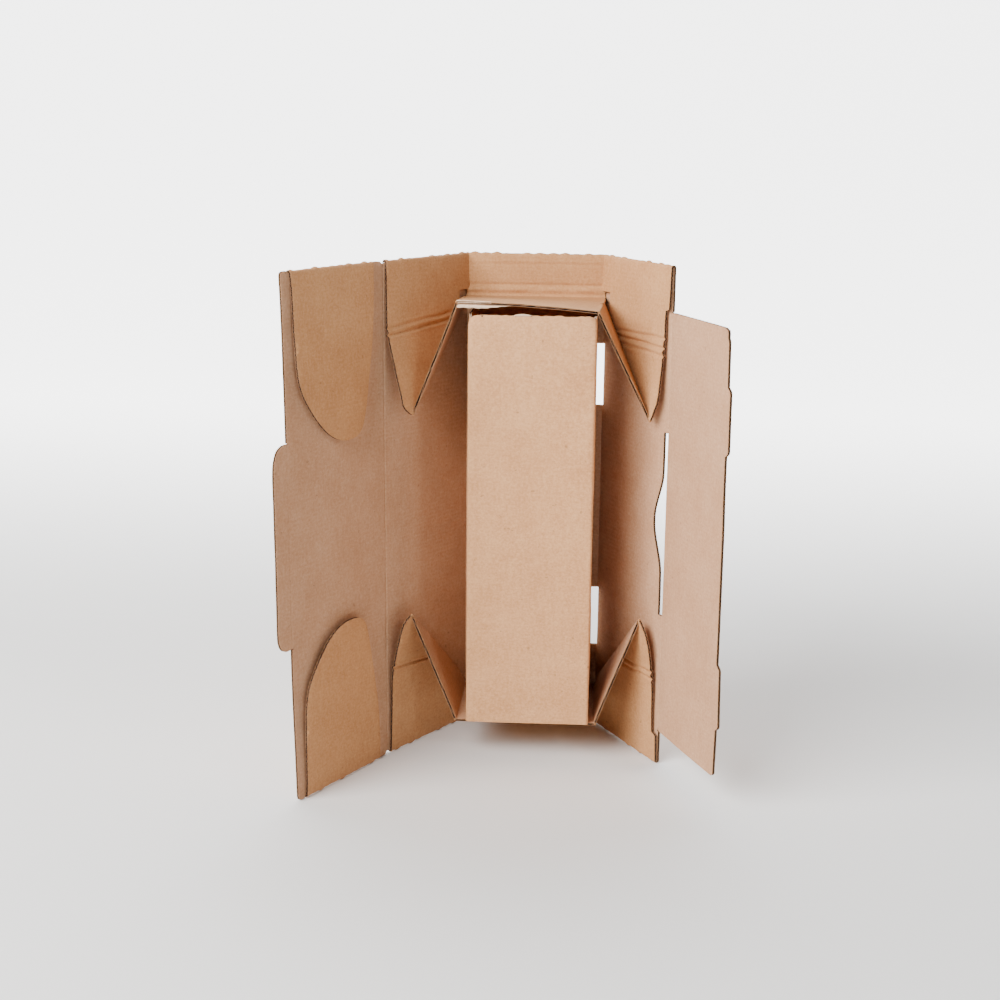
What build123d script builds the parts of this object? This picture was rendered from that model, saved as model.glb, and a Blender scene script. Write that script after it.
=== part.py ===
from build123d import *
import math
import os

# Shipping box for one bottle: a single die-cut corrugated sheet, folded up and
# standing open on its end, with a loose square corrugated sleeve inside.
# +Z is up, the box opens towards -Y, its base panel is at the back.

# ---- driving dimensions (mm, degrees) --------------------------------------
t = 1.6                     # corrugated board, fine flute
fold_gap = 0.8              # air left inside a fold that is turned right back
box_h = 400.0               # height of the panels between the two end folds
base_w = 113.0              # base panel, crease to crease
wall_w = 104.0              # side walls, crease to crease
lid_w = 114.0               # lid panel, crease to tab crease
left_open = 57.0            # left wall, degrees up from the plane of the base
right_open = 60.3           # right wall, degrees up from the plane of the base
lid_open = 3.7              # lid, degrees further open than the left wall
roll_open = 7.9             # roll-over panel, degrees further open than the right wall

roll_w = 97.0               # roll-over panel, crease to free edge
roll_z0, roll_z1 = 28.5, 364.5
lug_d = 4.5                 # locking lugs on its free edge
lug_z = ((70.5, 118.0), (277.0, 324.0))
window_w = 11.0             # windows in the base that take the lugs
window_z = ((70.0, 121.0), (277.0, 328.0))

slot_z0, slot_z1 = 124.5, 271.5   # slot for the lid's tab, in the right crease
slot_w = 6.3
notch_z0, notch_z1 = 158.0, 240.0  # finger notch in the middle of the slot
notch_d = 17.0

tab_z0, tab_z1 = 121.0, 276.0     # tuck tab on the lid
tab_d = 15.0
tab_gap = 0.15                    # clearance between a jointed flap and its neighbour

end_flap = 35.0             # base end flap, fold to bulkhead crease (upper end)
end_flap_low = 33.4         # the same at the lower end, pressed down by the sleeve
bulk_d = 89.5               # bulkhead, crease to front edge
flap_score = 57.0           # second of the two scores across each side flap
score_step = 7.0            # distance between the two scores
tip_s, tip_d = 91.7, 120.5  # tip of a side flap: along the wall, from the end fold
relief_s, relief_d = 15.0, 29.0   # relief cut at the inner corner of a side flap
spring = 1.9                # how far the folded flaps stand off the walls, degrees
bend_left, bend_right = 10.8, 3.4  # extra bend of a side flap at its scores

sleeve_w, sleeve_d, sleeve_h = 98.0, 97.4, 327.0
sleeve_x = 1.7              # the sleeve stands a little to the right
sleeve_r = 1.9              # outer corner radius of the sleeve

rm = (t + fold_gap) / 2     # middle radius of a fold that is turned right back
ro = rm + t / 2             # outer radius of that fold
hb = t / 2

os.makedirs("parts", exist_ok=True)


def rad(a):
    return math.radians(a)


def panel_frame(origin, ang, side):
    """Plane of an upright panel: x along the panel away from its crease, y up.
    Returns the plane and +1 or -1, the side of the plane's normal that faces
    the inside of the box."""
    d = Vector(side * math.cos(ang), -math.sin(ang), 0)
    n = d.cross(Vector(0, 0, 1))
    inner = Vector(-side * math.sin(ang), -math.cos(ang), 0)
    return Plane(origin=origin, x_dir=d, z_dir=n), (1 if n.dot(inner) > 0 else -1)


def outline(plane, pts, thick=t):
    """Flat plate on both sides of a plane, from a closed list of 2-D points."""
    f = make_face(Polyline(*[(float(x), float(y)) for x, y in pts], close=True))
    return extrude(plane * f, amount=thick / 2, both=True)


def plate3(pts, thick=t):
    """Flat plate on both sides of a polygon in space."""
    w = Wire.make_polygon([Vector(*p) for p in pts], close=True)
    f = Face(w)
    return extrude(f, amount=thick / 2, both=True)


def rod(p, q, r=hb):
    """Round crease filler between two points."""
    p, q = Vector(*p), Vector(*q)
    v = q - p
    pl = Plane(origin=p, z_dir=v)
    return extrude(pl * Circle(r), amount=v.length)


def smooth(pts, n=6):
    """Denser points along a rounded outline through the given points."""
    out = []
    for i in range(len(pts) - 1):
        p0 = pts[max(i - 1, 0)]
        p1, p2 = pts[i], pts[i + 1]
        p3 = pts[min(i + 2, len(pts) - 1)]
        for k in range(n):
            u = k / n
            out.append(tuple(
                0.5 * ((2 * p1[j]) + (-p0[j] + p2[j]) * u
                       + (2 * p0[j] - 5 * p1[j] + 4 * p2[j] - p3[j]) * u * u
                       + (-p0[j] + 3 * p1[j] - 3 * p2[j] + p3[j]) * u ** 3)
                for j in range(2)))
    out.append(pts[-1])
    return out


def at(plane, s, z, h, inner):
    """Point at distance s along a panel, height z, h above it on the inside."""
    v = plane.from_local_coords(Vector(s, z, h * inner))
    return v


# ---- crease lines ------------------------------------------------------------
CL = Vector(-base_w / 2, hb, 0)
CR = Vector(base_w / 2, hb, 0)
aL, aR = rad(left_open), rad(right_open)
left, left_in = panel_frame(CL, aL, -1)
right, right_in = panel_frame(CR, aR, 1)
BL = left.from_local_coords(Vector(wall_w, 0, 0))
DR = right.from_local_coords(Vector(wall_w, 0, 0))
lidp, lid_in = panel_frame(BL, aL + rad(lid_open), -1)
rollp, roll_in = panel_frame(DR, aR + rad(roll_open), 1)
AL = lidp.from_local_coords(Vector(lid_w, 0, 0))
base = Plane(origin=(0, hb, 0), x_dir=(1, 0, 0), z_dir=(0, -1, 0))   # normal faces inside


def back_fold(plane, inner, s0, s1, top):
    """Half-round fold that turns a flap right back over a panel's inside."""
    d = plane.x_dir
    zc = box_h - ro if top else ro
    c = plane.from_local_coords(Vector(s0, zc, rm * inner))
    pl = Plane(origin=c, x_dir=(0, 0, 1), z_dir=d)
    ring = Circle(ro) - Circle(ro - t)
    half = Pos((ro if top else -ro), 0, 0) * Rectangle(2 * ro, 4 * ro)
    return extrude(pl * (ring & half), amount=s1 - s0)


def flap_frame(plane, inner, top, tilt):
    """Frame of a flap turned back over a panel: x along the panel, y from the
    end fold towards the middle of the box, tilted off the panel by tilt."""
    zc = box_h - ro if top else ro
    o = plane.from_local_coords(Vector(0, zc, 2 * rm * inner))
    nrm = plane.z_dir * inner
    down = Vector(0, 0, -1 if top else 1)
    y = down * math.cos(tilt) + nrm * math.sin(tilt)
    return Plane(origin=o, x_dir=plane.x_dir, z_dir=plane.x_dir.cross(y))


def side_flap(plane, inner, top, bend, edge, outer_edge, bulk_front, bulk_root):
    """One side flap, its scores, its tip and the web leg up to the bulkhead."""
    eps, gam = rad(spring), rad(bend)
    f1 = flap_frame(plane, inner, top, eps)
    up = 1 if f1.z_dir.dot(plane.z_dir * inner) > 0 else -1   # towards the inside
    ys = flap_score - ro
    slope = (tip_d - end_flap) / tip_s
    s1 = (flap_score - end_flap) / slope
    p_rel = (relief_s, end_flap + relief_s * slope - ro)
    part1 = outline(f1, [(0.8, 0)] + edge + [(outer_edge, ys), (s1, ys), p_rel,
                                             (relief_s, relief_d - ro), (0.8, relief_d - ro)])
    # the part beyond the second score
    o2 = f1.from_local_coords(Vector(0, ys, 0))
    y2 = f1.y_dir * math.cos(gam) + (f1.z_dir * up) * math.sin(gam)
    f2 = Plane(origin=o2, x_dir=f1.x_dir, z_dir=f1.x_dir.cross(y2))
    tip = (tip_s, tip_d - flap_score)
    part2 = outline(f2, [(s1, 0), (outer_edge, 0), (outer_edge - 0.5, 23),
                         (outer_edge - 2, 43), (outer_edge - 5.5, 55.5), tip])
    score = rod(f1.from_local_coords(Vector(s1, ys, 0)),
                f1.from_local_coords(Vector(outer_edge, ys, 0)))
    # first score, pressed into the face that shows
    groove = outline(f1, [(24, ys - score_step - 0.6), (outer_edge + 1, ys - score_step - 0.6),
                          (outer_edge + 1, ys - score_step + 0.6), (24, ys - score_step + 0.6)], 0.5)
    groove = groove.moved(Location(f1.z_dir * (up * hb)))
    part1 = part1 - groove
    # web leg: flat triangle from the diagonal crease up to the bulkhead's side edge
    P1 = f1.from_local_coords(Vector(s1, ys, 0))
    T = f2.from_local_coords(Vector(*tip, 0))
    B = Vector(*bulk_front)
    R = Vector(*bulk_root)
    n = (T - P1).cross(B - P1).normalized()
    q = R + (B - R) * 0.13
    q = q - n * (q - P1).dot(n)
    # each crease edge runs a little into its neighbour, so that the sheet is one solid
    u1 = (T - P1).normalized().cross(n) * 0.55
    if u1.dot(B - P1) > 0:
        u1 = u1 * -1
    u2 = (B - q).normalized().cross(n) * 0.55
    if u2.dot(P1 - q) > 0:
        u2 = u2 * -1
    leg = plate3([P1 + u1, T + u1, B + u2, q + u2], t * 0.96)
    return [part1, part2, score, leg]


def base_flap(top, a, front_z):
    """Base end flap and the bulkhead that stands out from it."""
    inner = 1
    z = box_h - a if top else a
    x0 = base_w / 2 - 0.8
    f1 = flap_frame(base, inner, top, rad(1.0))
    part1 = outline(f1, [(-x0, 0), (x0, 0), (x0, a - ro), (-x0, a - ro)])
    root = f1.from_local_coords(Vector(0, a - ro, 0))
    xb = base_w / 2
    rl, rr = Vector(-xb, root.Y, root.Z), Vector(xb, root.Y, root.Z)
    fl = Vector(-xb, root.Y - bulk_d, front_z)
    fr = Vector(xb, root.Y - bulk_d, front_z)
    bulk = plate3([rl, rr, fr, fl])
    # ridge pressed along the crease
    ridge = rod(f1.from_local_coords(Vector(-x0, a - ro - 6.5, hb * 0.55)),
                f1.from_local_coords(Vector(x0, a - ro - 6.5, hb * 0.55)), hb * 0.75)
    return [part1, bulk, rod(rl, rr), ridge], rl, rr, fl, fr


# ---- the folded sheet --------------------------------------------------------
solids = []
base_pts = [(-base_w / 2, ro), (base_w / 2, ro), (base_w / 2, box_h - ro), (-base_w / 2, box_h - ro)]
base_panel = outline(base, base_pts)
for z0, z1 in window_z:
    base_panel -= outline(base, [(base_w / 2 - window_w, z0), (base_w / 2 + 3, z0),
                                 (base_w / 2 + 3, z1), (base_w / 2 - window_w, z1)], 3 * t)
solids.append(base_panel)
solids.append(back_fold(base, 1, -base_w / 2 + 0.8, base_w / 2 - 0.8, True))
solids.append(back_fold(base, 1, -base_w / 2 + 0.8, base_w / 2 - 0.8, False))

# left wall: its far end is bevelled so that the lid's crease can turn
left_wall = outline(left, [(0, ro), (wall_w, ro), (wall_w, box_h - ro), (0, box_h - ro)])
solids.append(left_wall)
solids.append(rod((CL.X, CL.Y, ro), (CL.X, CL.Y, box_h - ro)))
left_edge = wall_w - 1.6
solids.append(back_fold(left, left_in, 0.8, left_edge, True))
solids.append(back_fold(left, left_in, 0.8, left_edge, False))

# right wall with the slot for the lid's tab
right_wall = outline(right, [(0, ro), (wall_w, ro), (wall_w, box_h - ro), (0, box_h - ro)])
solids.append(right_wall)
solids.append(back_fold(right, right_in, 0.8, wall_w, True))
solids.append(back_fold(right, right_in, 0.8, wall_w, False))

# roll-over panel with its lugs, a flap of its own
rp = [(0, roll_z0), (roll_w - 3, roll_z0), (roll_w, roll_z0 + 3)]
for z0, z1 in lug_z:
    rp += [(roll_w, z0), (roll_w + lug_d, z0 + 1.5), (roll_w + lug_d, z1 - 1.5), (roll_w, z1)]
rp += [(roll_w, roll_z1 - 3), (roll_w - 3, roll_z1), (0, roll_z1)]

for top, a, fz in ((True, end_flap, box_h - end_flap + 0.6), (False, end_flap_low, end_flap_low)):
    parts, rl, rr, fl, fr = base_flap(top, a, fz)
    solids += parts
    solids += side_flap(left, left_in, top, bend_left, [(left_edge, 0)], left_edge, fl, rl)
    # the flap narrows level with the end of the roll-over panel, which folds in past it
    step = box_h - roll_z1 - 1.2 if top else roll_z0 - 2.4
    solids += side_flap(right, right_in, top, bend_right,
                        [(wall_w, 0), (wall_w, step - ro), (wall_w - 3.6, step + 1.6 - ro)],
                        wall_w - 3.6, fr, rr)

sheet = solids[0]
for i, s in enumerate(solids[1:]):
    sheet = sheet + s
    if not sheet.is_valid:
        print("invalid after", i + 1)
print("sheet", round(sheet.volume), "solids", len(sheet.solids()), "valid", sheet.is_valid)

# the windows also cut the crease, and the slot cuts wall and crease
for z0, z1 in window_z:
    sheet -= Pos(base_w / 2 - 2, hb, (z0 + z1) / 2) * Box(2 * (window_w - 2), 3, z1 - z0)
arc = smooth([(wall_w - slot_w, notch_z0), (wall_w - slot_w - 1.5, notch_z0 + 9),
              (wall_w - notch_d + 1.5, notch_z0 + 30), (wall_w - notch_d, (notch_z0 + notch_z1) / 2),
              (wall_w - notch_d + 1.5, notch_z1 - 30), (wall_w - slot_w - 1.5, notch_z1 - 9),
              (wall_w - slot_w, notch_z1)], 4)
slot_pts = [(wall_w + 0.6, slot_z0), (wall_w - slot_w, slot_z0)] + arc + \
           [(wall_w - slot_w, slot_z1), (wall_w + 0.6, slot_z1)]
sheet -= outline(right, slot_pts, 4.0)
print("sheet cut", round(sheet.volume), "solids", len(sheet.solids()), "valid", sheet.is_valid)


# ---- jointed flaps -------------------------------------------------------------
def hinge_cut(plane, inner, keep, z0, z1, half=46.0):
    """Wedge cleared on the inside of a crease, half degrees to each side, so
    that the flap can close. keep is +1 for the flap that starts at the crease,
    -1 for the panel that ends there."""
    g = 0.12
    b = hb + 0.4
    prof = [(0, 0), (keep * b * math.tan(rad(half)), b), (-keep * 3, b), (-keep * 3, 0)]
    w = [plane.from_local_coords(Vector(s + keep * g, z0, h * inner)) for s, h in prof]
    f = Face(Wire.make_polygon(w, close=True))
    return extrude(f, amount=z1 - z0, dir=(0, 0, 1))


# left wall side of the lid crease: concave round seat and a bevel inside
end_plane, end_in = panel_frame(BL, aL, -1)
seat = rod((BL.X, BL.Y, -5), (BL.X, BL.Y, box_h + 5), hb + tab_gap)
sheet = sheet - seat - hinge_cut(end_plane, end_in, -1, -5, box_h + 5)
# the same seat in the right wall, over the height of the roll-over panel
end_r, end_r_in = panel_frame(DR, aR, 1)
seat_r = rod((DR.X, DR.Y, roll_z0 - 0.5), (DR.X, DR.Y, roll_z1 + 0.5), hb + tab_gap)
sheet = sheet - seat_r - hinge_cut(end_r, end_r_in, -1, roll_z0 - 0.5, roll_z1 + 0.5, 58.0)

roll = outline(rollp, rp) - hinge_cut(rollp, roll_in, 1, roll_z0 - 1, roll_z1 + 1, 58.0)
roll = roll + rod((DR.X, DR.Y, roll_z0), (DR.X, DR.Y, roll_z1))

lid_pts = [(0, ro), (lid_w, ro), (lid_w, box_h - ro), (0, box_h - ro)]
lid = outline(lidp, lid_pts) - hinge_cut(lidp, lid_in, 1, -5, box_h + 5)
lid = lid + rod((BL.X, BL.Y, ro), (BL.X, BL.Y, box_h - ro))
tongue = [(15, 0), (15, 30), (17, 52), (20.5, 72), (26, 92), (29, 108), (32, 120), (36, 127.5),
          (42, 130.5), (58, 130.5), (68, 127.5), (78, 120.5), (88, 111), (95.5, 100),
          (101.5, 87), (104.5, 72), (105.5, 50), (105.5, 0)]
tongue_pts = [(s, max(d - ro, 0)) for s, d in smooth(tongue, 3)]
for top in (True, False):
    lid = lid + back_fold(lidp, lid_in, 4.0, 108.5, top)
    fr_ = flap_frame(lidp, lid_in, top, rad(1.4))
    lid = lid + outline(fr_, tongue_pts)

# tab crease: the same joint at the lid's outer edge
seat2 = rod((AL.X, AL.Y, tab_z0 - 1), (AL.X, AL.Y, tab_z1 + 1), hb + tab_gap)
lid = lid - seat2 - hinge_cut(Plane(origin=AL, x_dir=lidp.x_dir, z_dir=lidp.z_dir), lid_in, -1,
                              tab_z0 - 1, tab_z1 + 1)
tabp = Plane(origin=AL, x_dir=lidp.x_dir, z_dir=lidp.z_dir)
tab_outline = [(0, tab_z0)] + smooth([(7, tab_z0), (11, tab_z0 + 2), (14, tab_z0 + 7), (tab_d, tab_z0 + 15),
                                      (tab_d, tab_z0 + 40), (tab_d, tab_z1 - 40), (tab_d, tab_z1 - 22),
                                      (14, tab_z1 - 12), (10.5, tab_z1 - 4), (5, tab_z1)], 3) + [(0, tab_z1)]
tab = outline(tabp, tab_outline) - hinge_cut(tabp, lid_in, 1, tab_z0 - 1, tab_z1 + 1)
tab = tab + rod((AL.X, AL.Y, tab_z0), (AL.X, AL.Y, tab_z1))

# ---- inner sleeve: square tube, open at both ends ------------------------------
sleeve_z0 = end_flap_low + hb
sy = -sleeve_d / 2
tube = Rectangle(sleeve_w, sleeve_d)
tube = fillet(tube.vertices(), sleeve_r)
bore = Rectangle(sleeve_w - 2 * t, sleeve_d - 2 * t)
bore = fillet(bore.vertices(), sleeve_r - t + 0.3)
sleeve = Pos(sleeve_x, sy, sleeve_z0) * extrude(tube - bore, amount=sleeve_h)

# ---- place everything: origin at the middle of the foot ------------------------
nodes = {"box_body": sheet, "rollover_panel": roll, "lid": lid, "tuck_tab": tab, "inner_sleeve": sleeve}
bbs = [s.bounding_box() for s in nodes.values()]
lo = [min(getattr(b.min, k) for b in bbs) for k in "XYZ"]
hi = [max(getattr(b.max, k) for b in bbs) for k in "XYZ"]
shift = Vector(-(lo[0] + hi[0]) / 2, -(lo[1] + hi[1]) / 2, -lo[2])
print("shift", shift, "size", [hi[i] - lo[i] for i in range(3)])
print("lid crease", BL + shift, "tab crease", AL + shift, "DR", DR + shift)
for name, s in nodes.items():
    s = s.moved(Location(shift))
    sol = s.solids()
    print(name, "solids", len(sol), "volume", round(s.volume), "valid", s.is_valid)
    export_step(sol[0] if len(sol) == 1 else s, f"parts/{name}.step")
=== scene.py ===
import math
import random

import bpy
import numpy as np
from mathutils import Matrix, Vector
from mathutils.geometry import delaunay_2d_cdt


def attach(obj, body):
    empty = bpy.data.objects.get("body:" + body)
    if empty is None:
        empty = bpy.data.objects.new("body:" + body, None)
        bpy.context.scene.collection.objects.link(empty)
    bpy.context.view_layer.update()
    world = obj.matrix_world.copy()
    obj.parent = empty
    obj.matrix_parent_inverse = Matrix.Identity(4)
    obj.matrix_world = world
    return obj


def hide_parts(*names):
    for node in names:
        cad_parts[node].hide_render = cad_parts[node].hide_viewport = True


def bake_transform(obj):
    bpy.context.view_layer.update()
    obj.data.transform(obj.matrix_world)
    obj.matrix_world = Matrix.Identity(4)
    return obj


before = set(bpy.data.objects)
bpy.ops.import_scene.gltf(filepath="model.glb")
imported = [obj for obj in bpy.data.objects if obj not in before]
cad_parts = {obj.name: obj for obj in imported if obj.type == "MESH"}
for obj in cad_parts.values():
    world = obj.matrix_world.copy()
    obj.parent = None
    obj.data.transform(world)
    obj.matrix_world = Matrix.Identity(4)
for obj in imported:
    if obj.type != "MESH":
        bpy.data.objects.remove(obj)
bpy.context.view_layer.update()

RNG = np.random.default_rng(7)

# ---------------------------------------------------------------------------
# dimensions, in millimetres, the same as the solid model's
# ---------------------------------------------------------------------------
T = 1.6
H = T / 2
RM = 1.2                      # middle radius of a fold turned right back
RO = RM + H
BOX_H = 400.0
BASE_W, WALL_W, LID_W = 113.0, 104.0, 114.0
A_L, A_R = math.radians(57.0), math.radians(60.3)
B_L, B_R = math.radians(3.7), math.radians(7.9)
ROLL_W, ROLL_Z0, ROLL_Z1, LUG_D = 97.0, 28.5, 364.5, 4.5
FLAP_SCORE, STEP = 57.0, 7.0
TIP_S, TIP_D = 91.7, 120.5
END_A, END_LOW = 35.0, 33.4
BULK_D = 89.5
SPRING = math.radians(1.9)
SLEEVE_W, SLEEVE_D, SLEEVE_H, SLEEVE_X = 98.0, 97.4, 327.0, 1.7
SHIFT = np.array([15.2712, 98.8874, 0.0])
PITCH = 3.3                   # flute pitch
LINER, MEDIUM = 0.24, 0.24
VT = 2.0                      # board with its burred edges
ZUP = np.array([0.0, 0.0, 1.0])


def direction(ang, side):
    return np.array([side * math.cos(ang), -math.sin(ang), 0.0])


def inner_normal(ang, side):
    return np.array([-side * math.sin(ang), -math.cos(ang), 0.0])


CL = np.array([-BASE_W / 2, H, 0.0])
CR = np.array([BASE_W / 2, H, 0.0])
DL, NL = direction(A_L, -1), inner_normal(A_L, -1)
DRR, NR = direction(A_R, 1), inner_normal(A_R, 1)
BL = CL + WALL_W * DL
DR = CR + WALL_W * DRR
DLID, NLID = direction(A_L + B_L, -1), inner_normal(A_L + B_L, -1)
DROL, NROL = direction(A_R + B_R, 1), inner_normal(A_R + B_R, 1)
AL = BL + LID_W * DLID


# ---------------------------------------------------------------------------
# smooth noise without any image
# ---------------------------------------------------------------------------
class Noise:
    def __init__(self, seed, n=48):
        self.g = np.random.default_rng(seed).normal(0, 1, (n, n))
        self.n = n

    def __call__(self, x, y):
        x = np.asarray(x, float)
        y = np.asarray(y, float)
        xi, yi = np.floor(x).astype(int), np.floor(y).astype(int)
        fx, fy = x - xi, y - yi
        fx, fy = fx * fx * (3 - 2 * fx), fy * fy * (3 - 2 * fy)
        g, n = self.g, self.n
        a = g[xi % n, yi % n]
        b = g[(xi + 1) % n, yi % n]
        c = g[xi % n, (yi + 1) % n]
        d = g[(xi + 1) % n, (yi + 1) % n]
        return (a * (1 - fx) + b * fx) * (1 - fy) + (c * (1 - fx) + d * fx) * fy


N1, N2, N3, N4 = Noise(1), Noise(2), Noise(3), Noise(4)


def gauss(x, c, w):
    return np.exp(-((x - c) / w) ** 2)


def sstep(x, a, b):
    t = np.clip((x - a) / (b - a), 0, 1)
    return t * t * (3 - 2 * t)


# ---------------------------------------------------------------------------
# materials
# ---------------------------------------------------------------------------
def srgb(r, g, b):
    def f(c):
        c = c / 255.0
        return c / 12.92 if c <= 0.04045 else ((c + 0.055) / 1.055) ** 2.4
    return (f(r), f(g), f(b), 1.0)


def kraft(name, base, dark, light, wash=1.0, flute_axis="Z", fibre=1.0, rough=0.86, speck=1.0):
    m = bpy.data.materials.new(name)
    m.use_nodes = True
    nt = m.node_tree
    nt.nodes.clear()
    N = nt.nodes.new
    L = nt.links.new
    out = N("ShaderNodeOutputMaterial")
    bs = N("ShaderNodeBsdfPrincipled")
    L(bs.outputs[0], out.inputs[0])
    tc = N("ShaderNodeTexCoord")
    co = tc.outputs["Object"]

    def noise(scale, detail, rough_, stretch=None, dist=0.0):
        n = N("ShaderNodeTexNoise")
        n.inputs["Scale"].default_value = scale
        n.inputs["Detail"].default_value = detail
        n.inputs["Roughness"].default_value = rough_
        n.inputs["Distortion"].default_value = dist
        if stretch:
            mp = N("ShaderNodeMapping")
            mp.inputs["Scale"].default_value = stretch
            L(co, mp.inputs["Vector"])
            L(mp.outputs[0], n.inputs["Vector"])
        else:
            L(co, n.inputs["Vector"])
        return n.outputs["Fac"]

    def ramp(fac, stops):
        r = N("ShaderNodeValToRGB")
        e = r.color_ramp.elements
        e[0].position, e[0].color = stops[0]
        e[1].position, e[1].color = stops[1]
        for p, c in stops[2:]:
            k = e.new(p)
            k.color = c
        L(fac, r.inputs[0])
        return r.outputs[0]

    def mix(a, b, fac, mode="MIX"):
        x = N("ShaderNodeMix")
        x.data_type = "RGBA"
        x.blend_type = mode
        for sock, v in ((x.inputs[0], fac), (x.inputs[6], a), (x.inputs[7], b)):
            if hasattr(v, "is_output"):
                L(v, sock)
            else:
                sock.default_value = v
        return x.outputs[2]

    # cloudy pulp, then long fibres, then fine specks
    cloud = noise(30.0, 4.0, 0.6)
    grain = noise(520.0, 5.0, 0.72)
    blend = N("ShaderNodeMath")
    blend.operation = "MULTIPLY_ADD"
    blend.inputs[1].default_value = 0.30
    gsc = N("ShaderNodeMath")
    gsc.operation = "MULTIPLY"
    gsc.inputs[1].default_value = 0.70
    L(grain, gsc.inputs[0])
    L(cloud, blend.inputs[0])
    L(gsc.outputs[0], blend.inputs[2])
    c1 = ramp(blend.outputs[0], [(0.38, dark), (0.50, base), (0.62, light)])
    fib = noise(420.0, 3.0, 0.6, (1.0, 1.0, 0.22))
    c2 = mix(c1, ramp(fib, [(0.30, dark), (0.70, light)]), 0.22 * fibre)
    fib2 = noise(900.0, 2.0, 0.5, (0.25, 0.25, 1.0))
    c3 = mix(c2, ramp(fib2, [(0.32, dark), (0.68, light)]), 0.16 * fibre)
    sp = noise(260.0, 2.0, 0.45)
    spk = ramp(sp, [(0.705, (0, 0, 0, 1)), (0.76, (1, 1, 1, 1))])
    dk = (dark[0] * 0.55, dark[1] * 0.5, dark[2] * 0.45, 1)
    fs = N("ShaderNodeMath")
    fs.operation = "MULTIPLY"
    fs.inputs[1].default_value = 0.55 * speck
    L(spk, fs.inputs[0])
    c4 = mix(c3, dk, fs.outputs[0])
    # the flutes print through the liner as faint stripes
    sep = N("ShaderNodeSeparateXYZ")
    L(co, sep.inputs[0])
    mul = N("ShaderNodeMath")
    mul.operation = "MULTIPLY"
    mul.inputs[1].default_value = 2 * math.pi / (PITCH / 1000)
    L(sep.outputs[flute_axis], mul.inputs[0])
    wob = N("ShaderNodeMath")
    wob.operation = "MULTIPLY_ADD"
    wob.inputs[1].default_value = 3.0
    L(noise(9.0, 2.0, 0.5), wob.inputs[0])
    L(mul.outputs[0], wob.inputs[2])
    sn = N("ShaderNodeMath")
    sn.operation = "SINE"
    L(wob.outputs[0], sn.inputs[0])
    st = N("ShaderNodeMath")
    st.operation = "MULTIPLY_ADD"
    st.inputs[1].default_value = 0.5
    st.inputs[2].default_value = 0.5
    L(sn.outputs[0], st.inputs[0])
    fw = N("ShaderNodeMath")
    fw.operation = "MULTIPLY"
    fw.inputs[1].default_value = 0.10 * wash
    L(st.outputs[0], fw.inputs[0])
    c5 = mix(c4, dark, fw.outputs[0])
    L(c5, bs.inputs["Base Color"])
    bs.inputs["Roughness"].default_value = rough
    bs.inputs["Specular IOR Level"].default_value = 0.28
    # relief: flutes, fibres and a slow cockle of the paper
    b1 = N("ShaderNodeBump")
    b1.inputs["Strength"].default_value = 0.5
    b1.inputs["Distance"].default_value = 0.00010 * wash
    L(st.outputs[0], b1.inputs["Height"])
    b2 = N("ShaderNodeBump")
    b2.inputs["Strength"].default_value = 0.45
    b2.inputs["Distance"].default_value = 0.00012
    L(fib, b2.inputs["Height"])
    L(b1.outputs[0], b2.inputs["Normal"])
    b3 = N("ShaderNodeBump")
    b3.inputs["Strength"].default_value = 0.5
    b3.inputs["Distance"].default_value = 0.0007
    L(noise(55.0, 3.0, 0.5, (1.0, 1.0, 0.6)), b3.inputs["Height"])
    L(b2.outputs[0], b3.inputs["Normal"])
    L(b3.outputs[0], bs.inputs["Normal"])
    return m


OUTER = kraft("kraft_outer", srgb(188, 138, 93), srgb(172, 120, 76), srgb(203, 154, 109), wash=0.8)
INNER = kraft("kraft_inner", srgb(189, 146, 113), srgb(174, 129, 95), srgb(202, 162, 130), wash=1.0)
EDGE = kraft("kraft_edge", srgb(160, 116, 82), srgb(124, 84, 56), srgb(196, 152, 116), wash=0.0, fibre=1.6)
# near-black: painted shade in the flute hollows of the cut edges, on the hollow walls and on the medium's faces inside
# them; the real medium is kraft
FLUTE_SHADE = kraft("flute_cavity_shade", srgb(48, 29, 18), srgb(30, 17, 10), srgb(66, 42, 27), wash=0.0, fibre=1.4)
SLEEVE = kraft("sleeve_face", srgb(255, 186, 108), srgb(246, 171, 92), srgb(255, 200, 126), wash=0.25, fibre=0.8)
SLEEVE_IN = kraft("sleeve_inside", srgb(205, 152, 106), srgb(186, 132, 88), srgb(220, 170, 124), wash=0.4)
TORN = kraft("torn_paper", srgb(232, 200, 170), srgb(206, 168, 134), srgb(244, 220, 196), wash=0.0, fibre=2.0)
BOARD_SLOTS = [OUTER, INNER, EDGE, FLUTE_SHADE, TORN]


# ---------------------------------------------------------------------------
# sheet builder
# ---------------------------------------------------------------------------
def densify(poly, cut):
    """Boundary points close enough together for the flutes, with the cut flag
    of each edge. poly is a list of (x, y), cut one flag per edge."""
    pts, flags = [], []
    n = len(poly)
    for i in range(n):
        a, b = np.array(poly[i], float), np.array(poly[(i + 1) % n], float)
        d = b - a
        ln = float(np.hypot(*d))
        if ln < 1e-6:
            continue
        if cut[i]:
            k = max(1, int(math.ceil(max(abs(d[1]) / 0.36, ln / 1.6))))
        else:
            k = max(1, int(math.ceil(ln / 3.0)))
        for j in range(k):
            pts.append(a + d * j / k)
            flags.append(bool(cut[i]))
    return np.array(pts), np.array(flags)


def inside(P, poly):
    x, y = P[:, 0], P[:, 1]
    res = np.zeros(len(P), bool)
    n = len(poly)
    j = n - 1
    for i in range(n):
        xi, yi = poly[i]
        xj, yj = poly[j]
        if yi != yj:
            c = ((yi > y) != (yj > y)) & (x < (xj - xi) * (y - yi) / (yj - yi) + xi)
            res ^= c
        j = i
    return res


def near(P, Q, r):
    """True where a point of P lies within r of any point of Q."""
    out = np.zeros(len(P), bool)
    for k in range(0, len(P), 2000):
        d = P[k:k + 2000, None, :] - Q[None, :, :]
        out[k:k + 2000] = (np.einsum("ijk,ijk->ij", d, d).min(1) < r * r)
    return out


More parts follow.
